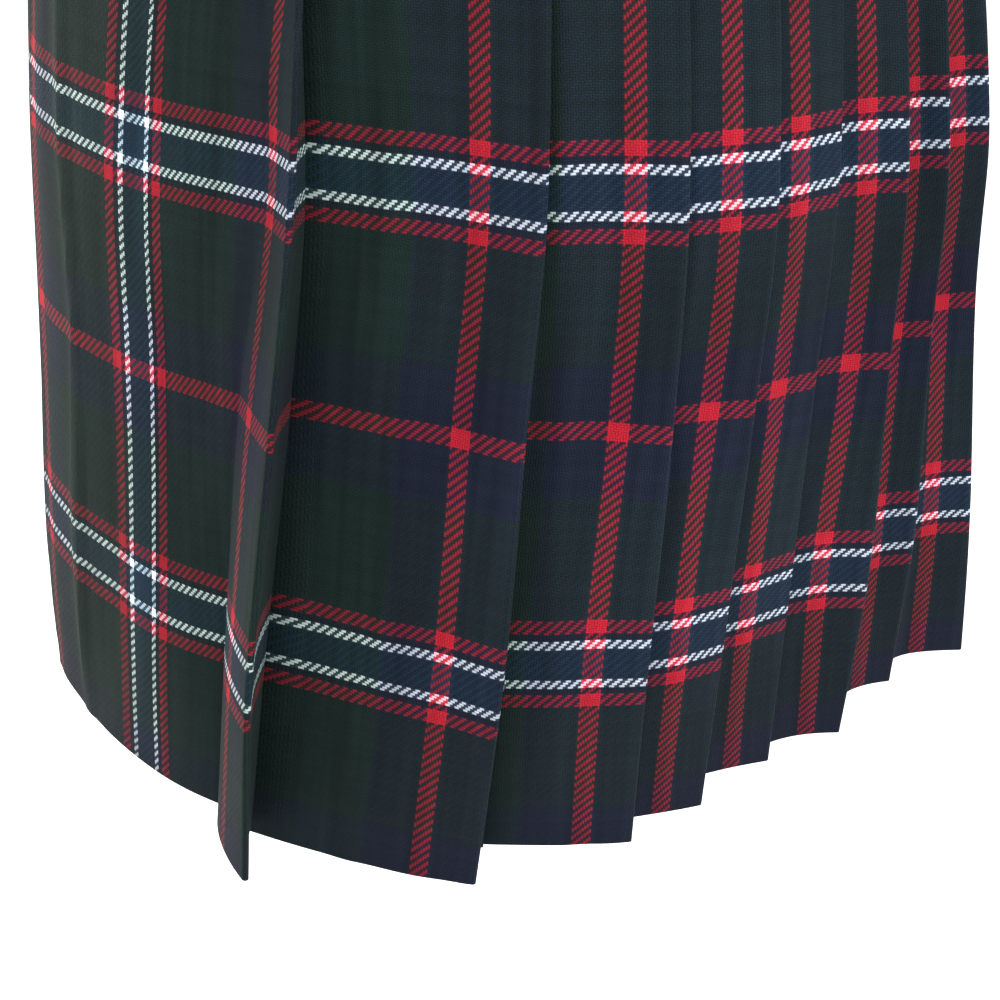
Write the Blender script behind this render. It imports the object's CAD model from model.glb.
import math

import bpy
import numpy as np
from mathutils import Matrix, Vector


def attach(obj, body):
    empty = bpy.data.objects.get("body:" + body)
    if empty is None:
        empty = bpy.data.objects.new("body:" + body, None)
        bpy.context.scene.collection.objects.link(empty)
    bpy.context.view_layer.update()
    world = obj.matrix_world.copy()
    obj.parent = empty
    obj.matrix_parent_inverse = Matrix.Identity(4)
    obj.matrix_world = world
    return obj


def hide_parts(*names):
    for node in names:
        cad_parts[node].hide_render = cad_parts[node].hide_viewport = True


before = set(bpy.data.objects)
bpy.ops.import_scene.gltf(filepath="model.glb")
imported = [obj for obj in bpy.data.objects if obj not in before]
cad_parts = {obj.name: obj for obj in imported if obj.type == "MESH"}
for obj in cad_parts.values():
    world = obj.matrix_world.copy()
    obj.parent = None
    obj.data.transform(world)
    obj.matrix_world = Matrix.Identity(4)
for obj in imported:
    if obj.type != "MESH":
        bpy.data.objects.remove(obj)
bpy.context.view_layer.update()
print("loaded the frame:", len(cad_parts), "nodes")

mm = 0.001

# the worn kilt, with the same named sizes as the solids under it
body = {
    "waistHeight": 0.555,  # the origin's level above the hem
    "length": 0.610,
    "ovalHeights": (0.000, 0.080, 0.168, 0.2555, 0.330, 0.400, 0.480, 0.555, 0.610),
    "halfWidth": (0.2004, 0.1987, 0.1950, 0.1896, 0.1845, 0.1775, 0.1640, 0.1515, 0.1530),
    "halfDepth": (0.2004, 0.1987, 0.1950, 0.1896, 0.1810, 0.1660, 0.1430, 0.1250, 0.1275),
    "foldHeights": (0.000, 0.080, 0.168, 0.2555, 0.420),
}

# each fold at the five fold heights: its angle round the body in degrees, from the front towards
# the left side, then how far it stands out from the oval, in millimetres
folds = {
    "apronDip": ((56, 58, 60, 64.5, 64), (1, 0, -5.5, 1.5, 0)),
    "apronCrease": ((62, 63.2, 65, 69.8, 69.5), (1.5, -1, -3.5, 3.5, 0)),
    "deepEdge": ((71, 71.8, 72.6, 74.4, 75.5), (39, 37, 22, 16, 4)),
    "deepInner": ((66.4, 68.7, 70.4, 73, 71.5), (6, 3, -7, -4.5, -3)),
    "pleat1": ((91.5, 94, 96.1, 98, 98.5), (22, 23, 12, 15, 0)),
    "pleat2": ((108.2, 109, 110.9, 111.4, 112), (-2, 5, 6, 15, 0)),
    "pleat3": ((118.5, 119.6, 121.8, 121.5, 122), (-16, -8, -4, 10, 0)),
    "pleat4": ((131.6, 131.4, 132.4, 130.4, 130.5), (-28, -19, -12, 4, 0)),
    "pleat5": ((143.7, 142.2, 142.7, 138.8, 139), (-22, -10, -6, 9, 0)),
    "pleat6": ((159.3, 155.2, 154.1, 147.9, 147.5), (-23, -12, -8, 5.5, 0)),
    "pleat7": ((170.3, 166.3, 165.1, 157.8, 156.5), (1, 1, 0, 7, 0)),
}

# where each face comes from under the fold before it, in millimetres, and last its curl
faceStands = {
    2: (-4, 1, -7, 4, -6, 2),
    3: (-17.5, -6, -10.5, 6.5, -6, 2),
    4: (-34.5, -19, -15, 3.5, -6, 2),
    5: (-38, -26.5, -19.5, -2, -6, 2.6),
    6: (-37, -27, -22, -5.5, -6, 4.5),
    7: (-28.5, -20.5, -18, -6, -6, 4.5),
}

pleating = {
    "count": 18,
    "shaped": 7,
    "widths": ((1, 5), (6, 12), (13, 18)),  # first and last pleat of each width of cloth
    "lastEdge": 281.0,
    "firstCurl": 2.5, "plainCurl": 2.0,
    "backLay": (-1.0, -2.0, -3.5, -4.0, -1.0),
    "backHollow": (-25.0, -16.0, -11.0, 2.0, 0.0),
    "rightTuck": (-6.5, -6.5, -6.5, -6.5, -6.0),
    "plainStep": (13.0, 11.0, 9.5, 7.5, 6.0),
    "uneven": (1.5, 1.2, 1.0, 0.8, 0.0),
    "unevenAngle": 0.6,
    "settles": 12,  # how soon the hidden edges leave the stand of the last shaped one
    "tuckFrom": 0.6,  # share of the way round from which they tuck in under the apron
    "stepMin": 0.0056,
    "gapAtFold": 0.0015,  # between the middles of the two layers right at a pressed edge
    "gapInside": 0.0024,
    "layerBehind": 0.0026,
    "seam": 0.0015,
    "sideFrom": -0.056, "sideRate": 0.55,  # the first face lies deep, so its check is drawn in
}

# columns of the cloth's grid, and the shares of a face where they lie
pleatGrid = {
    "firstColumns": 40, "firstStart": -0.05, "faceColumns": 25, "closer": 0.92,
    "backColumns": 8, "backStart": 0.97, "leadColumns": 9, "leadSoft": 0.06, "leadEnd": 0.92,
    "deep": {1: 0.54, 2: 0.55}, "plainDeep": 0.45,
}

aprons = {
    "rightEdge": -88.0,
    "underLeft": 80.0,
    "underStand": (-10.0, -12.0, -15.5, -13.5, -10.5),
    "bendHeights": (0.0, 0.08, 0.17, 0.26), "bend": (0.72, 0.92, 1.1, 1.3),  # of the deep fold
    "bow": 0.0012,
}

# soft creases: angle and height of the two ends, half width in degrees, lift in millimetres
creases = (
    (82, 0.10, 83.5, 0.42, 2, 1.5),
    (88.5, 0, 90.5, 0.22, 2.6, -0.8),
    (77.5, 0.02, 79.5, 0.30, 1.8, 0.7),
    (99.5, 0.12, 101, 0.40, 1.6, 1.3),
    (103, 0, 105, 0.20, 1.8, -0.6),
    (113.5, 0.08, 114.5, 0.36, 1.3, 0.6),
    (125, 0.05, 126, 0.34, 1.4, 0.6),
    (135.5, 0.10, 134.5, 0.38, 1.3, 0.5),
    (148, 0, 146, 0.26, 1.6, -0.6),
    (160.5, 0.06, 157, 0.36, 1.6, 0.6),
    (36, 0.03, 37, 0.40, 1.2, 1.9),
    (22, 0.02, 23.5, 0.38, 1.4, 1.3),
    (44, 0.05, 45, 0.44, 3, -0.7),
    (25, 0, 30, 0.36, 5, 1.4),
    (8, 0.04, 4, 0.42, 5.5, -1.6),
    (-18, 0, -14, 0.34, 6, 1.5),
    (-40, 0.06, -36, 0.44, 5, -1.3),
    (-63, 0, -60, 0.38, 5, 1.2),
    (-80, 0.02, -79, 0.30, 3, -0.9),
    (176, 0.04, 174, 0.36, 1.8, -0.6),
    (190, 0.08, 188, 0.40, 1.6, 0.6),
    (204, 0, 203, 0.30, 2, -0.7),
    (217, 0.06, 218, 0.38, 1.6, 0.6),
    (232, 0.02, 231, 0.32, 1.8, -0.6),
    (246, 0.08, 247, 0.40, 1.6, 0.6),
    (259, 0, 258, 0.28, 2, -0.7),
    (272, 0.05, 271, 0.36, 1.6, 0.5),
    (2, -0.02, 0, 0, 24, -4.5),
)
# slow waves: how many in a turn, their climb, lift in millimetres and start
ripples = ((7, 9, 0.5, 0.4), (13, -14, 0.3, 1.9), (23, 21, 0.15, 4.1))
creaseShape = {"wander": 0.5, "wanders": 9, "soft": 0.06, "ripplesUpTo": 0.40}


def between(height, knots, values):
    # smooth curve through the values, level past both ends
    knots = np.array(knots)
    values = np.array(values, dtype=float)
    last = len(knots) - 1
    after = np.minimum(np.arange(last + 1) + 1, last)
    before = np.maximum(np.arange(last + 1) - 1, 0)
    slopes = (values[after] - values[before]) / (knots[after] - knots[before])
    height = np.clip(height, knots[0], knots[-1])
    low = np.clip(np.searchsorted(knots, height, side="right") - 1, 0, last - 1)
    span = knots[low + 1] - knots[low]
    share = (height - knots[low]) / span
    square = share * share
    cube = square * share
    return ((2 * cube - 3 * square + 1) * values[low] + (3 * square - 2 * cube) * values[low + 1]
            + (cube - 2 * square + share) * slopes[low] * span
            + (cube - square) * slopes[low + 1] * span)


def level(values, height):
    return between(height, body["foldHeights"], values) * mm


def ovalRadius(angle, height):
    width = between(height, body["ovalHeights"], body["halfWidth"])
    depth = between(height, body["ovalHeights"], body["halfDepth"])
    turn = np.radians(angle)
    return 1 / np.hypot(np.sin(turn) / width, np.cos(turn) / depth)


def fadeBetween(height, low, high):
    soft = creaseShape["soft"]
    rise = np.clip((height - low + soft) / soft, 0, 1)
    fall = np.clip((high + soft - height) / soft, 0, 1)
    return rise * rise * (3 - 2 * rise) * fall * fall * (3 - 2 * fall)


def creaseLift(angle, height):
    lift = np.zeros(np.broadcast(angle, height).shape)
    for lowAngle, low, highAngle, high, half, out in creases:
        way = (height - low) / (high - low)
        wander = creaseShape["wander"] * np.sin(creaseShape["wanders"] * way + lowAngle)
        middle = lowAngle + (highAngle - lowAngle) * way + wander
        away = (angle - middle + 180) % 360 - 180
        lift += out * mm * np.exp(-(away / half) ** 2) * fadeBetween(height, low, high)
    for turns, rise, size, start in ripples:
        wave = np.sin(np.radians(angle) * turns + height * rise + start)
        lift += size * mm * wave * fadeBetween(height, 0.0, creaseShape["ripplesUpTo"])
    return lift


def plan(angle, stand, height):
    # where a point of the cloth lies, seen from above
    radius = ovalRadius(angle, height) + stand + creaseLift(angle, height)
    turn = np.radians(angle)
    return np.stack((radius * np.sin(turn), -radius * np.cos(turn)), axis=-1)


def foldAt(name, height):
    angles, stands = folds[name]
    return between(height, body["foldHeights"], angles), level(stands, height)


def pleatEdge(number, height):
    if number == 0:
        return foldAt("deepEdge", height)
    shaped = pleating["shaped"]
    if number <= shaped:
        return foldAt("pleat%d" % number, height)
    fromAngle, fromStand = foldAt("pleat%d" % shaped, height)
    way = (number - shaped) / (pleating["count"] - shaped)
    angle = fromAngle + (pleating["lastEdge"] - fromAngle) * way
    hollow = level(pleating["backHollow"], height) * math.sin(math.pi * way) ** 2
    tuck = max(0.0, (way - pleating["tuckFrom"]) / (1 - pleating["tuckFrom"])) ** 2
    wave = level(pleating["uneven"], height) * math.sin(2.4 * number)
    stand = fromStand * (1 - way) ** pleating["settles"]
    stand = stand + level(pleating["backLay"], height) * (1 - way)
    stand = stand + hollow + level(pleating["rightTuck"], height) * tuck + wave
    return angle + pleating["unevenAngle"] * math.sin(1.9 * number) * (1 - way), stand


def faceStart(number, height):
    edgeBefore = pleatEdge(number - 1, height)[1]
    if number in faceStands:
        row = faceStands[number]
        return np.minimum(level(row[:-1], height), edgeBefore - pleating["stepMin"]), row[-1]
    step = np.maximum(level(pleating["plainStep"], height), pleating["stepMin"])
    return edgeBefore - step, pleating["plainCurl"]


def facePlan(number, height, share):
    # a pleat's face in plan: share 0 is where it comes out, 1 its folded edge
    share = np.atleast_2d(share)
    endAngle, endStand = pleatEdge(number, height)
    if number == 1:
        startAngle, startStand = foldAt("deepInner", height)
        startStand = startStand - pleating["seam"]
        curl = pleating["firstCurl"]
    else:
        startAngle = pleatEdge(number - 1, height)[0]
        startStand, curl = faceStart(number, height)
    angle = startAngle + (endAngle - startAngle) * share
    stand = startStand + (endStand - startStand) * np.maximum(share, 0) ** curl
    return plan(angle, stand, height)


def unit(ways):
    return ways / np.maximum(np.linalg.norm(ways, axis=-1, keepdims=True), 1e-9)


def outOf(along):
    # square to a path that runs from the front towards the left side, away from the body
    return np.stack((along[..., 1], -along[..., 0]), axis=-1)


def faceFrame(number, height, share):
    point = facePlan(number, height, share)
    small = 0.004
    ahead = facePlan(number, height, share + small)
    back = facePlan(number, height, share - small)
    along = unit(ahead - back)
    return point, along, outOf(along)


def roundFold(middle, along, out, radius, steps):
    # the half turn of the cloth at a pressed edge
    turns = [math.pi * k / steps for k in range(1, steps + 1)]
    return np.concatenate([middle + out * radius * math.cos(turn)
                           + along * radius * math.sin(turn) for turn in turns], axis=1)


def inSpace(path, height):
    # plan points at their heights above the hem, as points of the frame
    z = np.broadcast_to(height - body["waistHeight"], path.shape[:-1])
    return np.concatenate((path, z[..., None]), axis=-1)


def runLength(path):
    steps = np.linalg.norm(np.diff(path, axis=1), axis=-1)
    return np.concatenate((np.zeros((len(path), 1)), np.cumsum(steps, axis=1)), axis=1)


# how far each pleat's red line lies back from its folded edge, in millimetres
redBack = {
    "heights": (0.000, 0.0804, 0.168, 0.2556),
    "rows": {
        1: (23.3, 24.3, 24.5, 23.8),
        2: (19.5, 20.3, 18.7, 17.5),
        3: (17.4, 20.9, 17.0, 17.0),
        4: (16.6, 21.2, 17.1, 18.2),
        5: (14.4, 19.8, 15.5, 15.3),
        6: (16.0, 18.0, 16.0, 14.5),
        7: (20.7, 17.7, 15.1, 12.9),
    },
    "plain": 17.0, "uneven": 1.5,
}


def redBackOf(number, height):
    if number in redBack["rows"]:
        return between(height, redBack["heights"], redBack["rows"][number]) * mm
    return (redBack["plain"] + redBack["uneven"] * math.sin(3.1 * number)) * mm + height * 0


def deepShare(number):
    return pleatGrid["deep"].get(number, pleatGrid["plainDeep"])


def leadTo(number, height, layer):
    # the hidden layer behind the pleat before, which comes out as this pleat's face
    before = number - 1
    deep = deepShare(before)
    edge, _, edgeOut = faceFrame(before, height, 1)
    step = np.sum((edge - facePlan(number, height, 0)) * edgeOut, axis=-1, keepdims=True)
    share = np.linspace(deep + pleatGrid["leadSoft"], pleatGrid["leadEnd"],
                        pleatGrid["leadColumns"])[None, :]
    point, _, out = faceFrame(before, height, share)
    ease = (share - deep) / (1 - deep)
    ease = (ease * ease * (3 - 2 * ease))[..., None]
    start = pleating["gapInside"] + layer
    return point - out * (start + (step - start) * ease)


def pleatCloth(first, last, height):
    # plan points and pattern positions along the cloth, from one pleat to another
    pathParts = []
    patternParts = []
    if first > 1:
        lead = leadTo(first, height, pleating["seam"])
        pathParts.append(lead)
        patternParts.append((lead, facePlan(first, height, 0)))
    edgeRadius = pleating["gapAtFold"] / 2
    layer = pleating["layerBehind"]
    for number in range(first, last + 1):
        faceColumns = pleatGrid["firstColumns" if number == 1 else "faceColumns"]
        faceFrom = pleatGrid["firstStart"] if number == 1 else 0.0
        share = np.linspace(faceFrom, 1.0, faceColumns)[None, :]
        share = np.where(share > 0, np.abs(share) ** pleatGrid["closer"], share)
        point, along, out = faceFrame(number, height, share)
        edgePoint = point[:, -1:] - along[:, -1:] * edgeRadius
        face = np.concatenate((point[:, :-1], edgePoint), axis=1)
        centre = edgePoint - out[:, -1:] * edgeRadius
        turned = roundFold(centre, along[:, -1:], out[:, -1:], edgeRadius, 6)
        deep = deepShare(number)
        backShare = np.linspace(pleatGrid["backStart"], deep, pleatGrid["backColumns"])[None, :]
        point, along, out = faceFrame(number, height, backShare)
        spread = (1 - backShare) / (1 - deep)
        gap = pleating["gapAtFold"] + (pleating["gapInside"] - pleating["gapAtFold"]) * spread
        behindFace = point - out * gap[..., None]
        part = np.concatenate((face, turned, behindFace), axis=1)
        run = runLength(part)
        pattern = run - run[:, faceColumns + 2:faceColumns + 3] + redBackOf(number, height)
        if number == 1:
            # its side stripe stays under the apron
            deeper = pattern - pleating["sideFrom"]
            pattern = np.where(deeper < 0, deeper * pleating["sideRate"] + pleating["sideFrom"],
                               pattern)
        # the inner fold and the layer that leads to the next face
        centre = behindFace[:, -1:] - out[:, -1:] * layer / 2
        inner = roundFold(centre, -along[:, -1:], out[:, -1:], layer / 2, 4)
        pathParts.append(part)
        patternParts.append(pattern)
        if number < last:
            lead = leadTo(number + 1, height, layer)
            pathParts += [inner, lead]
            patternParts.append((inner, lead, facePlan(number + 1, height, 0)))
        elif number < pleating["count"]:
            # the seam: this width's end is folded round the start of the next
            pathParts.append(inner)
            onward = runLength(np.concatenate((part[:, -1:], inner), axis=1))[:, 1:]
            patternParts.append(pattern[:, -1:] + onward)
    # a lead takes its pattern from the face that it runs into
    for i, entry in enumerate(patternParts):
        if isinstance(entry, tuple):
            run = runLength(np.concatenate(entry, axis=1))
            values = run - run[:, -1:] + patternParts[i + 1][:, :1]
            patternParts[i] = values[:, :-1]
    return np.concatenate(pathParts, axis=1), np.concatenate(patternParts, axis=1)


def overApronCloth(height):
    dip, crease, edge, inner = (foldAt(name, height) for name in (
        "apronDip", "apronCrease", "deepEdge", "deepInner"))
    bend = between(height, aprons["bendHeights"], aprons["bend"])

    def stretch(start, end, columns, power):
        share = np.linspace(0, 1, columns)[None, :]
        return plan(start[0] + (end[0] - start[0]) * share,
                    start[1] + (end[1] - start[1]) * share ** power, height)

    flat = stretch((aprons["rightEdge"], 0), dip, 110, 6)[:, :-1]
    hollow = stretch(dip, crease, 10, 1)[:, :-1]
    rising = stretch(crease, edge, 22, bend)
    along = unit(rising[:, -1:] - rising[:, -2:-1])
    out = outOf(along)
    radius = pleating["gapAtFold"] / 2
    edgePoint = rising[:, -1:] - along * radius
    rising = np.concatenate((rising[:, :-1], edgePoint), axis=1)
    turned = roundFold(edgePoint - out * radius, along, out, radius, 6)
    share = np.linspace(0, 1, 17)[None, 1:, None]
    bow = np.sin(share * math.pi) * aprons["bow"]
    back = turned[:, -1:] + (plan(*inner, height) - turned[:, -1:]) * share + out * bow
    path = np.concatenate((flat, hollow, rising, turned, back), axis=1)
    run = runLength(path)
    tip = flat.shape[1] + hollow.shape[1] + rising.shape[1] + 2
    return path, run - run[:, tip:tip + 1]


# the apron's pattern, in millimetres: how far back from the deep fold its red line lies, and
# how far round from the centre front its white stripe lies, at the heights of redBack
apronPattern = {
    "red": (24.5, 24.3, 23.5, 14.5),
    "stripe": (173.1, 177.0, 171.2, 172.7),
    "closest": 1.4,
}


def apronThreads(run, centreRun, height, halfSett):
    # pattern position for a distance along the apron, with 0 in the middle of a red line
    heights = redBack["heights"]
    red = between(height, heights, apronPattern["red"]) * mm
    stripe = between(height, heights, apronPattern["stripe"]) * mm
    arc = run - centreRun
    room = -centreRun - red - stripe
    rate = np.minimum(apronPattern["closest"], halfSett / np.maximum(room, 0.01))
    toFold = np.minimum(arc, -centreRun) - stripe
    return np.where(arc < stripe, arc - stripe, toFold * rate + np.maximum(run, 0)) - halfSett


def underApronCloth(height):
    point, _, out = faceFrame(pleating["count"], height, pleatGrid["plainDeep"])
    startPoint = point - out * (pleating["gapInside"] + pleating["seam"])
    start = np.degrees(np.arctan2(startPoint[..., 0], -startPoint[..., 1])) % 360 - 360
    radius = np.linalg.norm(startPoint, axis=-1)
    tucked = radius - ovalRadius(start, height) - creaseLift(start, height)
    lay = level(aprons["underStand"], height)
    share = np.linspace(0, 1, 120)[None, :]
    ease = np.minimum(1.0, share * 4)
    ease = ease * ease * (3 - 2 * ease)
    angle = start + (aprons["underLeft"] - start) * share
    path = plan(angle, tucked * (1 - ease) + lay * ease, height)
    return path, runLength(path)


def operation(kind, reflected=False):
    def apply(self, *other):
        values = (*other, self) if reflected else (self, *other)
        return self.finish.math(kind, *values)
    return apply


# a socket that can stand in a plain expression
class Amount:
    def __init__(self, finish, socket):
        self.finish = finish
        self.socket = socket

    __add__ = operation("ADD")
    __radd__ = operation("ADD", True)
    __sub__ = operation("SUBTRACT")
    __rsub__ = operation("SUBTRACT", True)
    __mul__ = operation("MULTIPLY")
    __rmul__ = operation("MULTIPLY", True)
    __truediv__ = operation("DIVIDE")
    __mod__ = operation("FLOORED_MODULO")
    __pow__ = operation("POWER")
    __lt__ = operation("LESS_THAN")
    __gt__ = operation("GREATER_THAN")
    __abs__ = operation("ABSOLUTE")


class Finish:
    def __init__(self, name, roughness, settings=None):
        self.material = bpy.data.materials.new(name)
        self.material.use_nodes = True
        self.tree = self.material.node_tree
        self.shader = self.tree.nodes["Principled BSDF"]
        self.shader.inputs["Roughness"].default_value = roughness
        for key, value in (settings or {}).items():
            self.shader.inputs[key].default_value = value

    def node(self, kind, settings=None, inputs=None):
        made = self.tree.nodes.new(kind)
        for key, value in (settings or {}).items():
            if key == "stops":
                ramp = made.color_ramp
                ramp.interpolation = "CONSTANT"
                while len(ramp.elements) < len(value):
                    ramp.elements.new(0.5)
                for element, (position, colour) in zip(ramp.elements, value):
                    element.position = position
                    element.color = (*colour, 1)
            else:
                setattr(made, key, value)
        for key, value in (inputs or {}).items():
            self.feed(made.inputs[key], value)
        return made

    def feed(self, socket, value):
        value = getattr(value, "socket", value)
        if isinstance(value, bpy.types.NodeSocket):
            self.tree.links.new(value, socket)
        else:
            socket.default_value = value

    def math(self, kind, *values):
        made = self.node("ShaderNodeMath", {"operation": kind}, dict(enumerate(values)))
        return Amount(self, made.outputs[0])

    def mix(self, factor, first, second, blend="MIX"):
        made = self.node("ShaderNodeMix", {"data_type": "RGBA", "blend_type": blend},
                         {0: factor, 6: first, 7: second})
        return made.outputs[2]

    def scaleColour(self, colour, amount):
        made = self.node("ShaderNodeVectorMath", {"operation": "SCALE"}, {0: colour, 3: amount})
        return made.outputs[0]

    def noise(self, vector, scale, detail=2.0, roughness=0.5):
        made = self.node("ShaderNodeTexNoise", None, {
            "Vector": vector, "Scale": scale, "Detail": detail, "Roughness": roughness})
        return Amount(self, made.outputs[0])

    def place(self):
        return self.node("ShaderNodeTexCoord").outputs["Object"]

    def uv(self):
        made = self.node("ShaderNodeUVMap", {"uv_map": "threads"})
        parts = self.node("ShaderNodeSeparateXYZ", None, {0: made.outputs[0]})
        return Amount(self, parts.outputs[0]), Amount(self, parts.outputs[1]), made.outputs[0]

    def vector(self, x, y):
        return self.node("ShaderNodeCombineXYZ", None, {0: x, 1: y}).outputs[0]

    def colour(self, value):
        self.feed(self.shader.inputs["Base Color"], value)

    def rough(self, value):
        self.feed(self.shader.inputs["Roughness"], value)

    def bump(self, height, distance, strength):
        made = self.node("ShaderNodeBump", None, {
            "Height": height, "Distance": distance, "Strength": strength})
        self.feed(self.shader.inputs["Normal"], made.outputs[0])


# the tartan, whose threads are counted from the middle of the single red line
tartan = {
    "sett": 0.1751, "endsInSett": 188, "picksInSett": 200,
    # where each stripe of half a sett ends, in millimetres from the red line's middle
    "stripes": (
        (0.0, "red"), (3.5, "navy"), (24.0, "green"), (70.1, "sideRed"), (75.3, "edgeDark"),
        (78.0, "white"), (81.1, "core"),
    ),
    "colours": {
        "red": (0.355, 0.012, 0.024),
        "sideRed": (0.32, 0.012, 0.023),
        "navy": (0.0086, 0.0115, 0.0225),
        "green": (0.0074, 0.0158, 0.0142),
        "edgeDark": (0.0080, 0.0110, 0.0190),
        "white": (0.92, 0.98, 1.00),
        "core": (0.0080, 0.0220, 0.0400),
    },
    "ups": 0.168,  # height above the hem of one red line
    "hemDeepens": 0.14, "hemShade": 0.86,  # the lowest part, pressed most often, is deeper
    "onTop": 0.80,  # how much of what is seen is the thread on top
    "sway": 0.35,  # in threads
    # how far each of these turns the shade, and its least: crown, fuzz, broad, streak
    "shades": ((0.55, 0.62), (0.7, 0.65), (0.4, 0.8), (1.1, 0.45)),
    "threadShades": (0.35, 0.25, 0.70),
}


def makeTartan():
    finish = Finish("tartanWool", 0.85, {
        "Sheen Weight": 0.03, "Sheen Roughness": 0.35, "Sheen Tint": (0.8, 0.85, 0.8, 1),
        "Specular IOR Level": 0.06,
    })
    half = tartan["sett"] / 2
    u, v, cloth = finish.uv()
    sway = (finish.noise(cloth, 60.0, 1.0) - 0.5) * tartan["sway"]
    across = u * (tartan["endsInSett"] / tartan["sett"]) + sway
    upward = v * (tartan["picksInSett"] / tartan["sett"]) + sway
    warp = finish.math("FLOOR", across)
    weft = finish.math("FLOOR", upward)
    inWarp = across - warp
    inWeft = upward - weft
    cell = (warp - weft) % 4.0
    warpTop = cell < 1.5

    def settPlace(thread, threadsInSett):
        turn = (thread + 0.5) / threadsInSett
        return abs((turn + 0.5) % 1.0 - 0.5) * 2.0

    def settColour(turn, share):
        # the colour of a thread to the power of its share in what is seen
        stops = [(position * mm / half, [part ** share for part in tartan["colours"][name]])
                 for position, name in tartan["stripes"]]
        return finish.node("ShaderNodeValToRGB", {"stops": stops}, {0: turn}).outputs[0]

    # the hairs of the thread below veil the thread on top, so the two multiply
    warpPlace = settPlace(warp, tartan["endsInSett"])
    weftPlace = settPlace(weft, tartan["picksInSett"])
    onTop = tartan["onTop"]
    warpSeen = finish.mix(1.0, settColour(warpPlace, onTop), settColour(weftPlace, 1 - onTop),
                          "MULTIPLY")
    weftSeen = finish.mix(1.0, settColour(weftPlace, onTop), settColour(warpPlace, 1 - onTop),
                          "MULTIPLY")
    yarnColour = finish.mix(warpTop, weftSeen, warpSeen)
    # the crown of each float, along it and across it
    warpAlong = (1.0 - cell + inWeft) / 2.0
    weftAlong = (cell - 2.0 + inWarp) / 2.0
    along = weftAlong + (warpAlong - weftAlong) * warpTop
    side = inWeft + (inWarp - inWeft) * warpTop
    crownAcross = 1.0 - (side * 2.0 - 1.0) ** 2.0
    crownAlong = 1.0 - abs(along * 2.0 - 1.0) ** 3.0
    crown = crownAcross * (crownAlong * 0.6 + 0.4)
    # single ends a shade lighter or darker, as in dyed wool, and a fine fuzz
    endShade = finish.noise(finish.vector(warp * 0.37, 3.1), 1.0, 0.0)
    pickShade = finish.noise(finish.vector(7.7, weft * 0.41), 1.0, 0.0)
    fuzz = finish.noise(cloth, 2600.0, 2.0, 0.7)
    broad = finish.noise(finish.place(), 14.0, 3.0)
    streak = finish.noise(finish.vector(u * 75.0, v * 7.0), 1.0, 2.0, 0.6)
    byEnd, byPick, least = tartan["threadShades"]
    shade = endShade * byEnd + pickShade * byPick + least
    for amount, (turns, least) in zip((crown, fuzz, broad, streak), tartan["shades"]):
        shade = shade * (amount * turns + least)
    low = finish.math("MAXIMUM", (v + tartan["ups"]) / tartan["hemDeepens"], 0.0)
    low = finish.math("MINIMUM", low, 1.0)
    shade = shade * (low * (1 - tartan["hemShade"]) + tartan["hemShade"])
    finish.colour(finish.scaleColour(yarnColour, shade))
    finish.rough(fuzz * 0.2 + 0.72)
    finish.bump(crown + fuzz * 0.35, 0.00022, 0.65)
    return finish.material


tartanWool = makeTartan()
print("tartan made")

clothCut = {
    "thick": 0.0011, "rows": 132,
    "frontColumns": 90,  # of the over apron, round past the centre front
    "hemSag": 0.0052, "sagUpTo": 0.075,  # the first pleat's hem hangs lower behind the deep fold
}
slotCut = {
    "height": 0.555, "half": 0.0185, "columns": (14, 21),
    "edgeHeights": (0.5355, 0.5727), "edgeShares": (0.358, 0.536),
    "every": 0.0016, "everyShare": 0.024, "lift": 0.0006,
}


def selectOnly(piece):
    bpy.ops.object.select_all(action="DESELECT")
    piece.select_set(True)
    bpy.context.view_layer.objects.active = piece


def solidify(piece, thick):
    selectOnly(piece)
    wall = piece.modifiers.new("thickness", "SOLIDIFY")
    wall.thickness = thick
    wall.offset = 0.0
    wall.use_even_offset = False
    bpy.ops.object.modifier_apply(modifier=wall.name)


def sheetPiece(name, points, uvs, material, keep=None):
    # a grid from the Add menu whose points are set by formula
    rows, columns = points.shape[:2]
    bpy.ops.object.select_all(action="DESELECT")
    bpy.ops.mesh.primitive_grid_add(x_subdivisions=columns - 1, y_subdivisions=rows - 1, size=1,
                                    calc_uvs=False)
    piece = bpy.context.active_object
    piece.name = name
    mesh = piece.data
    mesh.name = name
    flat = np.empty(len(mesh.vertices) * 3)
    mesh.vertices.foreach_get("co", flat)
    flat = flat.reshape(-1, 3)
    column = np.rint((flat[:, 0] + 0.5) * (columns - 1)).astype(int)
    row = np.rint((flat[:, 1] + 0.5) * (rows - 1)).astype(int)
    mesh.vertices.foreach_set("co", points[row, column].ravel())
    corner = np.empty(len(mesh.loops), dtype=np.int32)
    mesh.loops.foreach_get("vertex_index", corner)
    layer = mesh.uv_layers.new(name="threads")
    layer.data.foreach_set("uv", uvs[row, column][corner].ravel())
    if keep is not None:
        dropFaces(mesh, keep, row, column)
    mesh.update()
    mesh.materials.append(material)
    return piece


def dropFaces(mesh, keep, row, column):
    bpy.ops.object.mode_set(mode="EDIT")
    bpy.ops.mesh.select_all(action="DESELECT")
    bpy.ops.object.mode_set(mode="OBJECT")
    for face in mesh.polygons:
        spots = list(face.vertices)
        face.select = not keep(row[spots].mean(), column[spots].mean())
    bpy.ops.object.mode_set(mode="EDIT")
    bpy.ops.mesh.select_mode(type="FACE")
    bpy.ops.mesh.delete(type="FACE")
    bpy.ops.object.mode_set(mode="OBJECT")


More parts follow.
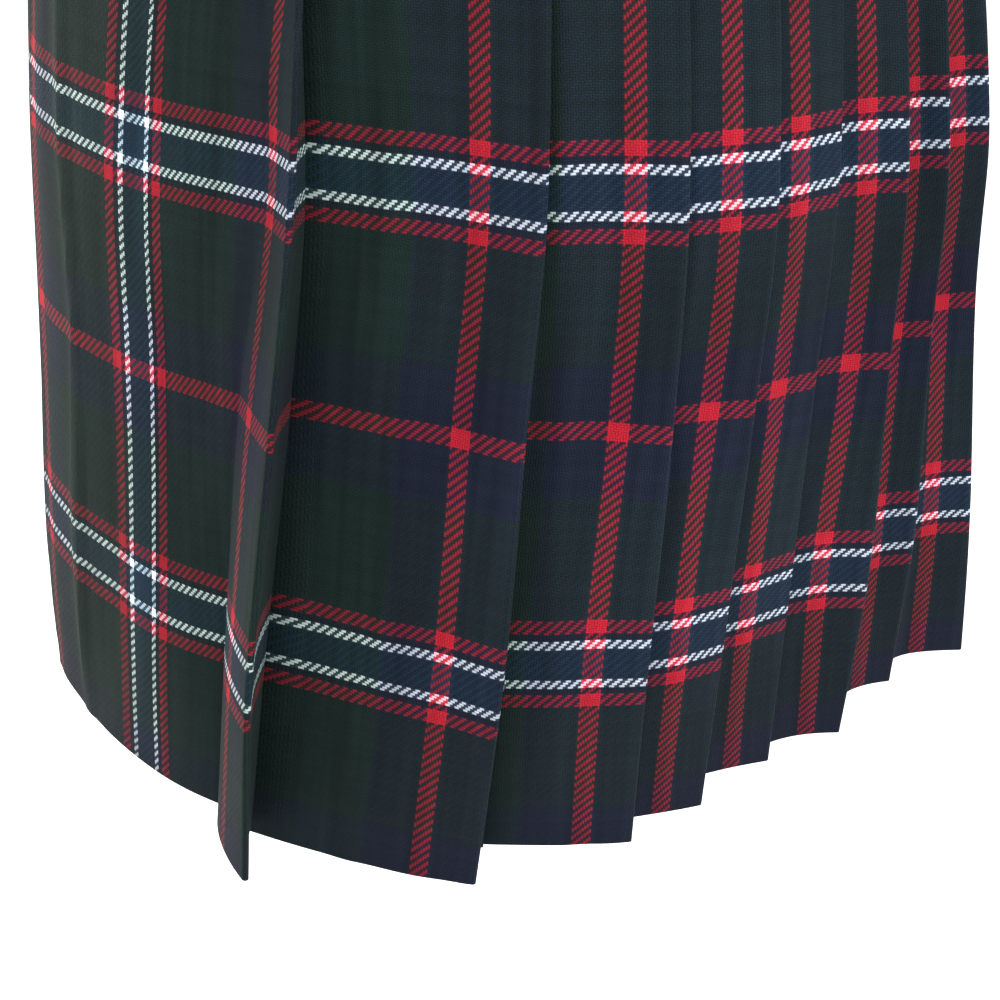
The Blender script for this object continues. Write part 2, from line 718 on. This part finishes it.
def faceOut(piece):
    selectOnly(piece)
    bpy.ops.object.mode_set(mode="EDIT")
    bpy.ops.mesh.select_all(action="SELECT")
    bpy.ops.mesh.normals_make_consistent(inside=False)
    bpy.ops.object.mode_set(mode="OBJECT")
    bpy.ops.object.shade_smooth_by_angle(angle=math.radians(50))


def hemSag(columns, height):
    share = np.minimum(np.arange(columns) / (pleatGrid["firstColumns"] - 1), 1)[None, :]
    fade = np.clip(1 - height / clothCut["sagUpTo"], 0, 1) ** 1.5
    return clothCut["hemSag"] * (1 - share ** 4) * fade


def woolPiece(name, node, points, pattern, up, thick, keep=None):
    uvs = np.stack((pattern, np.broadcast_to(up, pattern.shape)), axis=-1)
    piece = sheetPiece(name, points, uvs, tartanWool, keep)
    solidify(piece, thick)
    faceOut(piece)
    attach(piece, "root")
    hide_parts(node)
    print("cloth:", name, len(piece.data.polygons), "faces")


def clothPiece(name, node, path, pattern, height, keep=None, sag=0.0):
    woolPiece(name, node, inSpace(path, height - sag), pattern, height - tartan["ups"],
              clothCut["thick"], keep)


def keepLeft(row, column):
    # all but the slot that the left strap comes through
    rowStep = body["length"] / (clothCut["rows"] - 1)
    first, last = slotCut["columns"]
    return abs(row * rowStep - slotCut["height"]) >= slotCut["half"] or not first < column < last


def makeCloth():
    height = np.linspace(0.0, body["length"], clothCut["rows"])[:, None]
    path, run = overApronCloth(height)
    front = clothCut["frontColumns"]
    centreRun = np.array([[np.interp(0.0, row[:front, 0], along[:front])]
                          for row, along in zip(path, run)])
    pattern = apronThreads(run, centreRun, height, tartan["sett"] / 2)
    clothPiece("overApronCloth", "over_apron", path, pattern, height)
    left, back, right = (pleatCloth(*width, height) for width in pleating["widths"])
    clothPiece("leftPleatsCloth", "pleats_left", *left, height, keepLeft,
               hemSag(left[0].shape[1], height))
    clothPiece("backPleatsCloth", "pleats_back", *back, height)
    clothPiece("rightPleatsCloth", "pleats_right", *right, height)
    clothPiece("underApronCloth", "under_apron", *underApronCloth(height), height)


makeCloth()

# one stitch is modelled once and copied along its row
thread = {"long": 0.0025, "wide": 0.00055, "colour": (0.012, 0.020, 0.018),
          "leatherColour": (0.045, 0.042, 0.040), "shadow": 0.6}


def makeThread(name, colour):
    finish = Finish(name, 0.6, {"Specular IOR Level": 0.2})
    twist = finish.node("ShaderNodeTexWave", None, {
        "Vector": finish.place(), "Scale": 900.0, "Distortion": 1.5})
    ply = Amount(finish, twist.outputs[1])
    dark = [part * thread["shadow"] for part in colour]
    finish.colour(finish.mix(ply, (*dark, 1), (*colour, 1)))
    finish.bump(ply, 0.0001, 0.5)
    return finish.material


wovenThread = makeThread("sewingThread", thread["colour"])
leatherThread = makeThread("leatherThread", thread["leatherColour"])


def stitchShape():
    bpy.ops.object.select_all(action="DESELECT")
    bpy.ops.mesh.primitive_uv_sphere_add(segments=6, ring_count=5, radius=0.5)
    shape = bpy.context.active_object
    spots = np.array([tuple(vertex.co) for vertex in shape.data.vertices])
    faces = [tuple(face.vertices) for face in shape.data.polygons]
    bpy.data.objects.remove(shape, do_unlink=True)
    return spots, faces


stitchSpots, stitchFaces = stitchShape()


def stitchRows(name, rows, material):
    # each row has places, the way along the row at each of them, and the way out
    spots = []
    faces = []
    for points, along, out in rows:
        side = np.cross(along, out)
        for point, ahead, outward, across in zip(points, along, out, side):
            start = len(spots) * len(stitchSpots)
            spots.append(point + (stitchSpots[:, 2:3] * ahead * thread["long"]
                                  + stitchSpots[:, 0:1] * outward * thread["wide"]
                                  + stitchSpots[:, 1:2] * across * thread["wide"]))
            faces += [tuple(start + corner for corner in face) for face in stitchFaces]
    mesh = bpy.data.meshes.new(name)
    mesh.from_pydata(np.concatenate(spots).tolist(), [], faces)
    piece = bpy.data.objects.new(name, mesh)
    bpy.context.collection.objects.link(piece)
    mesh.materials.append(material)
    faceOut(piece)
    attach(piece, "root")
    print("sewing:", name, len(spots), "stitches")


def radial(points):
    return unit(points * np.array([1.0, 1.0, 0.0]))


def seam(line, every):
    # a row of stitches at even spacing along a line of points
    run = runLength(line[None])[0]
    stops = np.arange(every / 2, run[-1], every)
    spots, ahead = (np.stack([np.interp(stops + on, run, line[:, k]) for k in range(3)], axis=-1)
                    for on in (0, every * 0.2))
    return spots, unit(ahead - spots + 1e-12), radial(spots)


# a strip of the cloth over the raw top edges
bandCut = {
    "low": 0.5775, "high": 0.6100, "out": 0.0015, "thick": 0.0013,
    "patternUp": 0.0500,
    "stitchHeights": (0.5808, 0.6062), "stitchEvery": 0.0034, "stitchLift": 0.0004,
    "overDepth": 0.0018, "backDepth": 0.0125,
    "backShares": (0.17, 0.36, 0.54, 0.77),  # where it follows the first pleat's face
    "tuckAngles": (271.3, 272.4, 275.0),  # its end goes under the apron's band
    "tuckStands": (-0.0026, -0.0050, -0.0050),
    "underAngles": (-40.0, 20.0, 76.0),
}


def bandProfile(depth):
    # heights and stands of the strip from its lower edge, over the top and down inside
    low, high, out = (bandCut[key] for key in ("low", "high", "out"))
    rows = [(low + (high - low) * share, out + 0.00035 * math.sin(math.pi * share))
            for share in (0, 0.03, 0.1, 0.2, 0.35, 0.5, 0.65, 0.8, 0.9, 0.97, 1.0)]
    rows += [(high + 0.0008, out - 0.0003), (high + 0.0013, out - 0.0011)]
    rows += [(high + 0.0014, -depth * share) for share in (0.15, 0.5, 0.85)]
    rows += [(high + 0.0009, -depth + 0.0004), (high, -depth), (high - 0.004, -depth),
             (high - 0.012, -depth), (high - 0.018, -depth)]
    return np.array(rows)


def bandPiece(name, node, angles, stands, depth, columns):
    profile = bandProfile(depth)
    angle = np.linspace(angles[0], angles[-1], columns)[None, :]
    stand = between(angle, angles, stands)
    height = profile[:, 0:1]
    path = plan(angle, stand + profile[:, 1:2], np.minimum(height, body["length"]))
    run = runLength(path)
    up = runLength(profile[None])[0]
    woolPiece(name, node, inSpace(path, height), run[:1] + 0 * run,
              bandCut["patternUp"] + up[:, None], bandCut["thick"])
    stand = stand + bandCut["out"] + bandCut["thick"] / 2 + bandCut["stitchLift"]
    rows = []
    for stitchHeight in bandCut["stitchHeights"]:
        line = plan(angle, stand, stitchHeight)[0]
        rows.append(seam(inSpace(line, stitchHeight), bandCut["stitchEvery"]))
    return rows


def makeWaistband():
    top = body["length"]
    crease, edge, start, end = (foldAt(name, top) for name in (
        "apronCrease", "deepEdge", "deepInner", "pleat1"))
    angles = [aprons["rightEdge"], 0.0, 60.0, crease[0], crease[0] + 2.4, crease[0] + 4.5, edge[0]]
    stands = [0.0, 0.0, 0.0, crease[1], 0.3 * edge[1], 0.68 * edge[1], edge[1]]
    rows = bandPiece("waistbandOver", "waistband_over", angles, stands, bandCut["overDepth"], 170)
    low = start[1] - pleating["seam"]
    angles = [start[0] + (end[0] - start[0]) * share for share in bandCut["backShares"]]
    stands = [low + (end[1] - low) * share ** pleating["firstCurl"]
              for share in bandCut["backShares"]]
    for number in range(1, pleating["count"]):
        angle, stand = pleatEdge(number, top)
        angles.append(angle)
        stands.append(stand)
    angles += bandCut["tuckAngles"]
    stands += bandCut["tuckStands"]
    rows += bandPiece("waistbandBack", "waistband_back", angles, stands, bandCut["backDepth"], 200)
    rows += bandPiece("waistbandUnder", "waistband_under", bandCut["underAngles"],
                      [aprons["underStand"][-1] * mm] * 3, bandCut["overDepth"], 120)
    stitchRows("waistbandStitching", rows, wovenThread)


makeWaistband()
print("waistband made")

# the pleats are stitched down above the seat
fell = {"low": 0.436, "high": 0.572, "every": 0.0062, "lean": 0.9, "uneven": 0.004,
        "share": 0.965, "lift": 0.00075}


def stitchesOnFace(number, height, share, lift):
    point, along, out = faceFrame(number, height, share)
    spots = inSpace(point, height).reshape(-1, 3)
    along, out = (np.pad(way.reshape(-1, 2), ((0, 0), (0, 1))) for way in (along, out))
    return spots + out * lift, along, out


def makeFellStitches():
    rows = []
    for number in range(1, pleating["count"]):
        height = np.arange(fell["low"] + fell["uneven"] * math.sin(number), fell["high"],
                           fell["every"])[:, None]
        spots, along, out = stitchesOnFace(number, height, fell["share"], fell["lift"])
        rows.append((spots, unit(along + np.array([0, 0, fell["lean"]])), out))
    stitchRows("fellStitching", rows, wovenThread)


def makeSlotStitches():
    low, high = slotCut["edgeHeights"]
    first, last = slotCut["edgeShares"]
    height = np.arange(low, high, slotCut["every"])[:, None]
    rows = [stitchesOnFace(1, height, share, slotCut["lift"]) for share in (first, last)]
    share = np.arange(first, last, slotCut["everyShare"])[None, :]
    for end in (low, high):
        spots, along, out = stitchesOnFace(1, end, share, slotCut["lift"])
        rows.append((spots, np.array([0.0, 0.0, 1.0]) + 0 * along, out))
    stitchRows("slotStitching", rows, wovenThread)


makeFellStitches()
makeSlotStitches()

leather = {
    "dark": (0.0050, 0.0046, 0.0045, 1), "light": (0.0110, 0.0098, 0.0092, 1),
    "worn": (0.040, 0.035, 0.031, 1), "wornFrom": 0.0142,
    "grooveAt": 0.0124, "groove": 0.00035,
}


def makeLeather():
    finish = Finish("blackLeather", 0.42, {"Specular IOR Level": 0.14})
    across = abs(finish.uv()[1])
    spot = finish.place()
    cells = finish.node("ShaderNodeTexVoronoi", {"feature": "DISTANCE_TO_EDGE"},
                        {"Vector": spot, "Scale": 1500.0})
    grain = finish.math("MINIMUM", Amount(finish, cells.outputs[0]) * 5.0, 1.0)
    patchy = finish.noise(spot, 60.0, 3.0)
    fine = finish.noise(spot, 900.0, 2.0)
    groove = abs(across - leather["grooveAt"]) < leather["groove"]
    worn = (across > leather["wornFrom"]) * (patchy * 0.6 + 0.2)
    base = finish.mix(patchy, leather["dark"], leather["light"])
    base = finish.mix(worn * 0.5, base, leather["worn"])
    finish.colour(finish.scaleColour(base, grain * 0.35 + 0.65 - groove * 0.4))
    finish.rough(patchy * 0.25 + 0.32 + groove * 0.1)
    finish.bump(grain + fine * 0.3 - groove * 2.0, 0.00018, 0.5)
    return finish.material


def makeMetal():
    finish = Finish("buckleMetal", 0.25, {"Metallic": 1.0})
    spot = finish.place()
    rub = finish.noise(spot, 220.0, 4.0, 0.65)
    drawn = finish.node("ShaderNodeMapping", None, {0: spot, 3: (900.0, 60.0, 2400.0)})
    line = finish.noise(drawn.outputs[0], 1.0, 3.0)
    finish.colour(finish.mix(rub, (0.42, 0.41, 0.38, 1), (0.68, 0.67, 0.63, 1)))
    finish.rough(rub * 0.22 + line * 0.15 + 0.10)
    finish.bump(line, 0.00005, 0.3)
    return finish.material


blackLeather = makeLeather()
buckleMetal = makeMetal()

strapCut = {
    "width": 0.030, "thick": 0.0020, "tabThick": 0.0016, "tabFrom": 0.0018, "tabLong": 0.044,
    "tabRound": 0.004, "wire": 0.0015, "prong": 0.0010, "touch": 0.0003,
    "buckleLong": 0.024, "buckleWider": 0.0035, "buckleCorner": 0.0042,
    "sewn": 0.106, "tip": 0.0535, "point": 0.011,
    "holes": (-0.0290, 0.0105, 0.0220, 0.0335, -0.0078), "holeSize": 0.0013,
}
onCloth = 0.0012
strapLow = onCloth + strapCut["thick"] / 2
heelStand = onCloth + strapCut["wire"]
outerStand = onCloth + strapCut["thick"] + 2 * strapCut["touch"] + strapCut["wire"]
overHeel = heelStand + strapCut["wire"] + 2 * strapCut["touch"] + strapCut["thick"] / 2
overTab = onCloth + strapCut["tabThick"] + strapCut["touch"] + strapCut["thick"] / 2

strapPlaces = (
    {"label": "left_waist", "height": 0.555, "heel": 112.0, "way": 1, "under": True},
    {"label": "right_waist", "height": 0.555, "heel": 251.0, "way": -1, "under": False},
    {"label": "right_hip", "height": 0.450, "heel": 251.0, "way": -1, "under": False},
)

# stitching along both edges, and a sewn box with a cross where the strap is fixed
strapSewing = {
    "edge": 0.0124, "runs": ((-0.0800, -0.0285), (0.0060, 0.0430)), "every": 0.0031,
    "box": (-0.1035, -0.0850, 0.0112), "boxEvery": 0.0029, "lift": 0.0001,
}


def strapPoint(place, along, up, stand):
    along, up, stand = np.broadcast_arrays(along, up, stand)
    radius = ovalRadius(place["heel"], place["height"])
    angle = place["heel"] + place["way"] * np.degrees(along / radius)
    height = place["height"] + up
    return inSpace(plan(angle, stand, height), height)


def leatherPiece(name, node, points, along, up, thick):
    uvs = np.stack(np.broadcast_arrays(along, up), axis=-1)
    piece = sheetPiece(name, points, uvs, blackLeather)
    solidify(piece, thick)
    bevel = piece.modifiers.new("edge", "BEVEL")
    bevel.width = thick * 0.22
    bevel.segments = 2
    bevel.limit_method = "ANGLE"
    bevel.angle_limit = math.radians(50)
    bpy.ops.object.modifier_apply(modifier=bevel.name)
    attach(piece, "root")
    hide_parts(node)
    return piece


def punchHoles(piece, place, route, stands):
    cutters = []
    bpy.ops.object.select_all(action="DESELECT")
    for along in strapCut["holes"]:
        spot = strapPoint(place, along, 0.0, np.interp(along, route, stands))
        out = Vector((spot[0], spot[1], 0)).normalized()
        bpy.ops.mesh.primitive_cylinder_add(vertices=18, radius=strapCut["holeSize"], depth=0.012,
                                            location=Vector(spot),
                                            rotation=out.to_track_quat("Z", "Y").to_euler())
        cutters.append(bpy.context.active_object)
    # the hole in use is a slit, so that the prong can lie down
    cutters[-1].scale = (2.0, 1.15, 1)
    for cutter in cutters:
        cutter.select_set(True)
    bpy.context.view_layer.objects.active = cutters[0]
    bpy.ops.object.join()
    cutter = bpy.context.active_object
    selectOnly(piece)
    punch = piece.modifiers.new("holes", "BOOLEAN")
    punch.operation = "DIFFERENCE"
    punch.object = cutter
    bpy.ops.object.modifier_apply(modifier=punch.name)
    bpy.data.objects.remove(cutter, do_unlink=True)


def makeStrap(place):
    label = place["label"]
    sewn = strapLow
    if place["under"]:
        sewn += level(aprons["underStand"], place["height"])
    route = np.array([-0.106, -0.098, -0.090, -0.0820, -0.0615, -0.053, -0.044, -0.036, -0.028,
                      -0.0205, -0.0110, -0.0040, 0.0028, 0.010, 0.018, 0.026, 0.034, 0.044,
                      0.0535])
    stands = np.array([sewn] * 4 + [strapLow] * 6 + [overHeel - 2 * strapCut["touch"], overHeel,
                                                      overHeel] + [overTab] * 6)
    along = np.linspace(-strapCut["sewn"], strapCut["tip"], 96)[None, :]
    share = np.linspace(-1, 1, 9)[:, None]
    near = np.clip((along - strapCut["tip"] + strapCut["point"]) / strapCut["point"], 0, 1)
    up = share * (strapCut["width"] / 2 * (1 - 0.78 * near ** 1.7))
    points = strapPoint(place, along, up, between(along, route, stands))
    piece = leatherPiece("leather_" + label, "strap_" + label, points, along, up,
                         strapCut["thick"])
    punchHoles(piece, place, route, stands)
    faceOut(piece)
    makeTab(place, share)
    makeBuckle(place)
    makeProng(place)
    face = strapCut["thick"] / 2 + strapSewing["lift"]
    rows = []
    for side in (-1, 1):
        for start, end in strapSewing["runs"]:
            way = np.linspace(start, end, 60)
            line = strapPoint(place, way, side * strapSewing["edge"],
                              between(way, route, stands) + face)
            rows.append(seam(line, strapSewing["every"]))
    left, right, tall = strapSewing["box"]
    corners = [(left, -tall), (right, -tall), (right, tall), (left, tall), (left, -tall)]
    lines = list(zip(corners[:-1], corners[1:]))
    lines += [(corners[0], corners[2]), (corners[3], corners[1])]
    way = np.linspace(0, 1, 12)
    for start, end in lines:
        line = strapPoint(place, start[0] + (end[0] - start[0]) * way,
                          start[1] + (end[1] - start[1]) * way, sewn + face)
        rows.append(seam(line, strapSewing["boxEvery"]))
    stitchRows("strapStitching_" + label, rows, leatherThread)


def makeTab(place, share):
    # the leather that holds the buckle on the pleats
    label = place["label"]
    long = strapCut["tabLong"]
    along = np.linspace(strapCut["tabFrom"], long, 30)[None, :]
    near = np.clip((along - long + strapCut["tabRound"]) / strapCut["tabRound"], 0, 1)
    up = share * strapCut["width"] / 2 * (1 - 0.25 * near)
    points = strapPoint(place, along, up, onCloth + strapCut["tabThick"] / 2)
    faceOut(leatherPiece("holder_" + label, "tab_" + label, points, along, up,
                         strapCut["tabThick"]))


def buckleOutline():
    # a rectangle with round corners, as (along, up) places
    longSide = strapCut["buckleLong"]
    side = strapCut["width"] / 2 + strapCut["buckleWider"]
    corner = strapCut["buckleCorner"]
    spots = []
    centres = ((-corner, side - corner, 90, 0), (-corner, corner - side, 0, -90),
               (corner - longSide, corner - side, -90, -180),
               (corner - longSide, side - corner, 180, 90))
    for x, y, first, last in centres:
        for turn in np.radians(np.linspace(first, last, 7)):
            spots.append((x + corner * math.cos(turn), y + corner * math.sin(turn)))
        if len(spots) in (7, 21):
            spots += [(spots[-1][0], y * share) for share in (0.5, 0.0, -0.5)]
    return np.array(spots)


def metalPiece(piece, node):
    piece.data.materials.clear()
    piece.data.materials.append(buckleMetal)
    faceOut(piece)
    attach(piece, "root")
    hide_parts(node)


def makeBuckle(place):
    # a ring from the Add menu, laid round the outline
    spots = buckleOutline()
    lift = -spots[:, 0] / strapCut["buckleLong"]
    stand = heelStand + (outerStand - heelStand) * np.clip(lift, 0, 1)
    line = strapPoint(place, spots[:, 0], spots[:, 1], stand)
    tube = 0.2
    bpy.ops.object.select_all(action="DESELECT")
    bpy.ops.mesh.primitive_torus_add(major_segments=len(line), minor_segments=12,
                                     major_radius=1.0, minor_radius=tube)
    piece = bpy.context.active_object
    piece.name = "frame_" + place["label"]
    mesh = piece.data
    ahead = unit(np.roll(line, -1, axis=0) - np.roll(line, 1, axis=0))
    across = unit(np.cross(ahead, radial(line)))
    outward = np.cross(across, ahead)
    co = np.array([tuple(vertex.co) for vertex in mesh.vertices])
    turn = np.degrees(np.arctan2(co[:, 1], co[:, 0])) % 360
    major = np.rint(turn / 360 * len(line)).astype(int) % len(line)
    flat = np.hypot(co[:, 0], co[:, 1]) - 1.0
    radius = strapCut["wire"]
    moved = (line[major] + across[major] * (flat / tube * radius)[:, None]
             + outward[major] * (co[:, 2] / tube * radius)[:, None])
    mesh.vertices.foreach_set("co", moved.ravel())
    mesh.update()
    metalPiece(piece, "buckle_" + place["label"])


def makeProng(place):
    thin = strapCut["prong"]
    long = strapCut["buckleLong"]
    top = outerStand + 1.4 * strapCut["wire"] + strapCut["touch"] + thin
    route = np.array([(-0.0034, heelStand), (-0.0072, overHeel), (-0.0125, top - 0.0003),
                      (-0.018, top), (-long, top), (-long - 0.003, top - 0.0002)])
    order = np.arange(len(route))
    fine = np.linspace(0, len(route) - 1, 26)
    line = strapPoint(place, between(fine, order, route[:, 0]), 0.0,
                      between(fine, order, route[:, 1]))
    bpy.ops.curve.primitive_nurbs_path_add()
    piece = bpy.context.active_object
    piece.name = "pin_" + place["label"]
    curve = piece.data
    curve.splines.clear()
    spline = curve.splines.new("POLY")
    spline.points.add(len(line) - 1)
    for k, (spot, point) in enumerate(zip(spline.points, line)):
        spot.co = (*point, 1)
        spot.radius = 1.15 - 0.4 * (k / (len(line) - 1)) ** 2
    curve.bevel_depth = thin
    curve.bevel_resolution = 3
    curve.use_fill_caps = True
    piece.location = (0, 0, 0)
    selectOnly(piece)
    bpy.ops.object.convert(target="MESH")
    metalPiece(bpy.context.active_object, "prong_" + place["label"])


for strapPlace in strapPlaces:
    makeStrap(strapPlace)
print("straps and buckles made")

view = {
    "azimuth": 95.0, "away": 0.9048, "height": -0.0555, "side": -0.0037,
    "tilt": 26.6, "lens": 82.26,
}
# azimuth, angle up, distance, size, power and tint of each lamp
lamps = {
    "keyLight": (74, 44, 3.0, 1.6, 58, (1.0, 1.0, 1.0)),
    "rimLight": (-34, 20, 3.0, 1.0, 112, (1.0, 0.97, 0.84)),
    "fillLight": (152, 34, 3.0, 2.0, 86, (0.93, 0.98, 1.0)),
    "backLight": (265, 45, 3.2, 2.0, 40, (1.0, 1.0, 1.0)),
}
room = {"floor": -1.10, "paint": ((0.86, 0.86, 0.86, 1), (0.90, 0.90, 0.90, 1)), "light": 0.85,
        "lampsAim": -0.3}


def outTo(azimuth, up=0.0):
    turn = math.radians(azimuth)
    tilt = math.radians(up)
    return Vector((math.sin(turn) * math.cos(tilt), -math.cos(turn) * math.cos(tilt),
                   math.sin(tilt)))


def makeCamera():
    out = outTo(view["azimuth"])
    right = outTo(view["azimuth"] + 90)
    bpy.ops.object.camera_add(location=out * view["away"] + right * view["side"]
                              + Vector((0, 0, view["height"])))
    camera = bpy.context.active_object
    camera.name = "viewpoint"
    aim = -outTo(view["azimuth"], view["tilt"])
    camera.rotation_euler = aim.to_track_quat("-Z", "Y").to_euler()
    camera.data.sensor_width = 36
    camera.data.lens = view["lens"]
    bpy.context.scene.camera = camera


def softLight(name, azimuth, up, away, size, power, tint):
    aim = Vector((0, 0, room["lampsAim"]))
    spot = outTo(azimuth, up) * away + aim
    bpy.ops.object.light_add(type="AREA", location=spot)
    lamp = bpy.context.active_object
    lamp.name = name
    lamp.data.shape = "DISK"
    lamp.data.size = size
    lamp.data.energy = power
    lamp.data.color = tint
    lamp.rotation_euler = (aim - spot).to_track_quat("-Z", "Y").to_euler()


def makeStage():
    bpy.ops.mesh.primitive_plane_add(size=30, location=(0, 0, room["floor"]))
    floor = bpy.context.active_object
    floor.name = "paleFloor"
    finish = Finish("palePaint", 0.9)
    finish.colour(finish.mix(finish.noise(finish.place(), 3.0, 2.0), *room["paint"]))
    floor.data.materials.append(finish.material)
    world = bpy.data.worlds.new("paleRoom")
    world.use_nodes = True
    world.node_tree.nodes["Background"].inputs[0].default_value = (1, 1, 1, 1)
    world.node_tree.nodes["Background"].inputs[1].default_value = room["light"]
    bpy.context.scene.world = world
    bpy.context.scene.view_settings.view_transform = "Standard"
    for name, lamp in lamps.items():
        softLight(name, *lamp)


makeCamera()
makeStage()
print("camera, floor and lamps placed")
